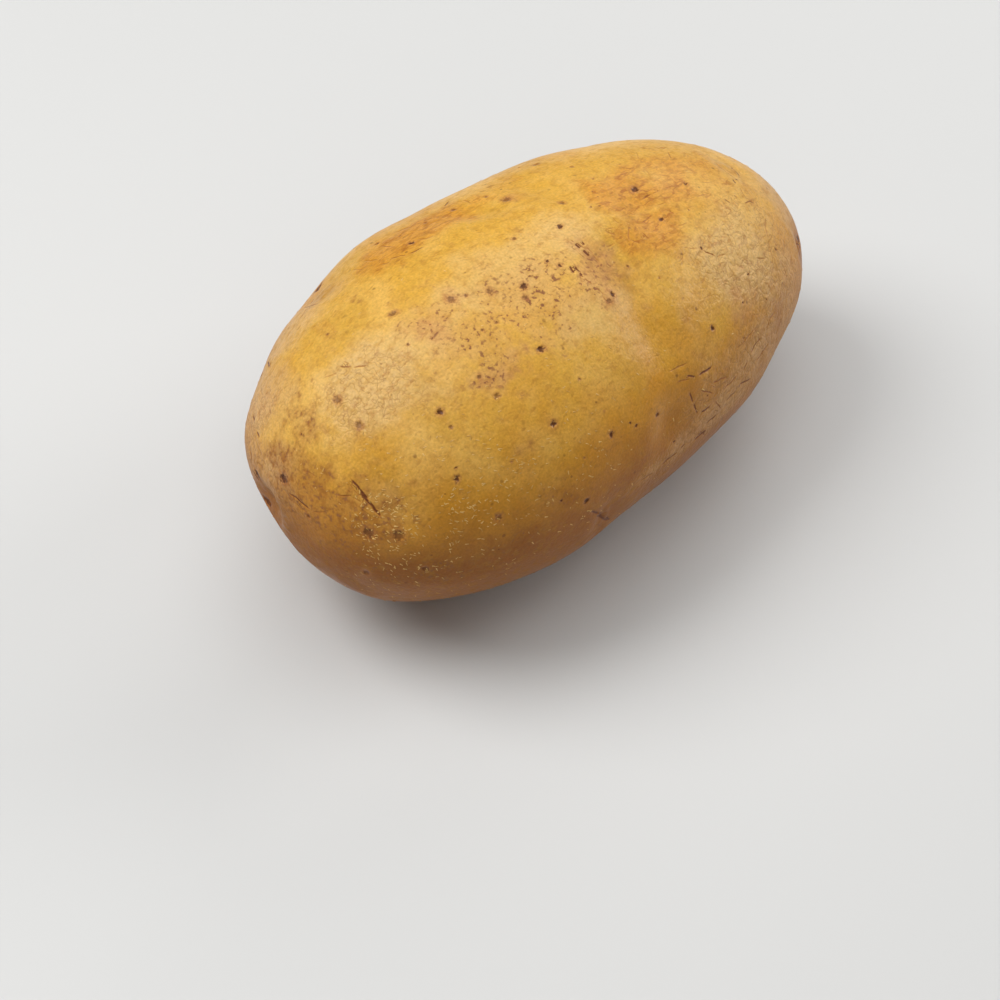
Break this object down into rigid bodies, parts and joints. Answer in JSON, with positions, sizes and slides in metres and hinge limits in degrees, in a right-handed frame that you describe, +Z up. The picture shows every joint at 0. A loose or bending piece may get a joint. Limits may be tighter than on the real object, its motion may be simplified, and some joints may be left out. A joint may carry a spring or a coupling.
{
  "type": "potato",
  "caption": "Whole raw potato with thin yellow skin, shallow eyes and a stem scar, lying on a small flat spot.",
  "frame": {"origin": "middle of the bounding box's bottom, on the surface that the potato rests on", "axes": "+X from the stem end to the rose end, along the potato; +Y across it; +Z up from the flat spot"},
  "size_m": [0.1148, 0.0662, 0.0574],
  "materials": {
    "skin": "thin yellow potato skin, satin, with brown specks and fine cracks"
  },
  "bodies": {
    "root": {"potato": "skin"}
  },
  "joints": []
}
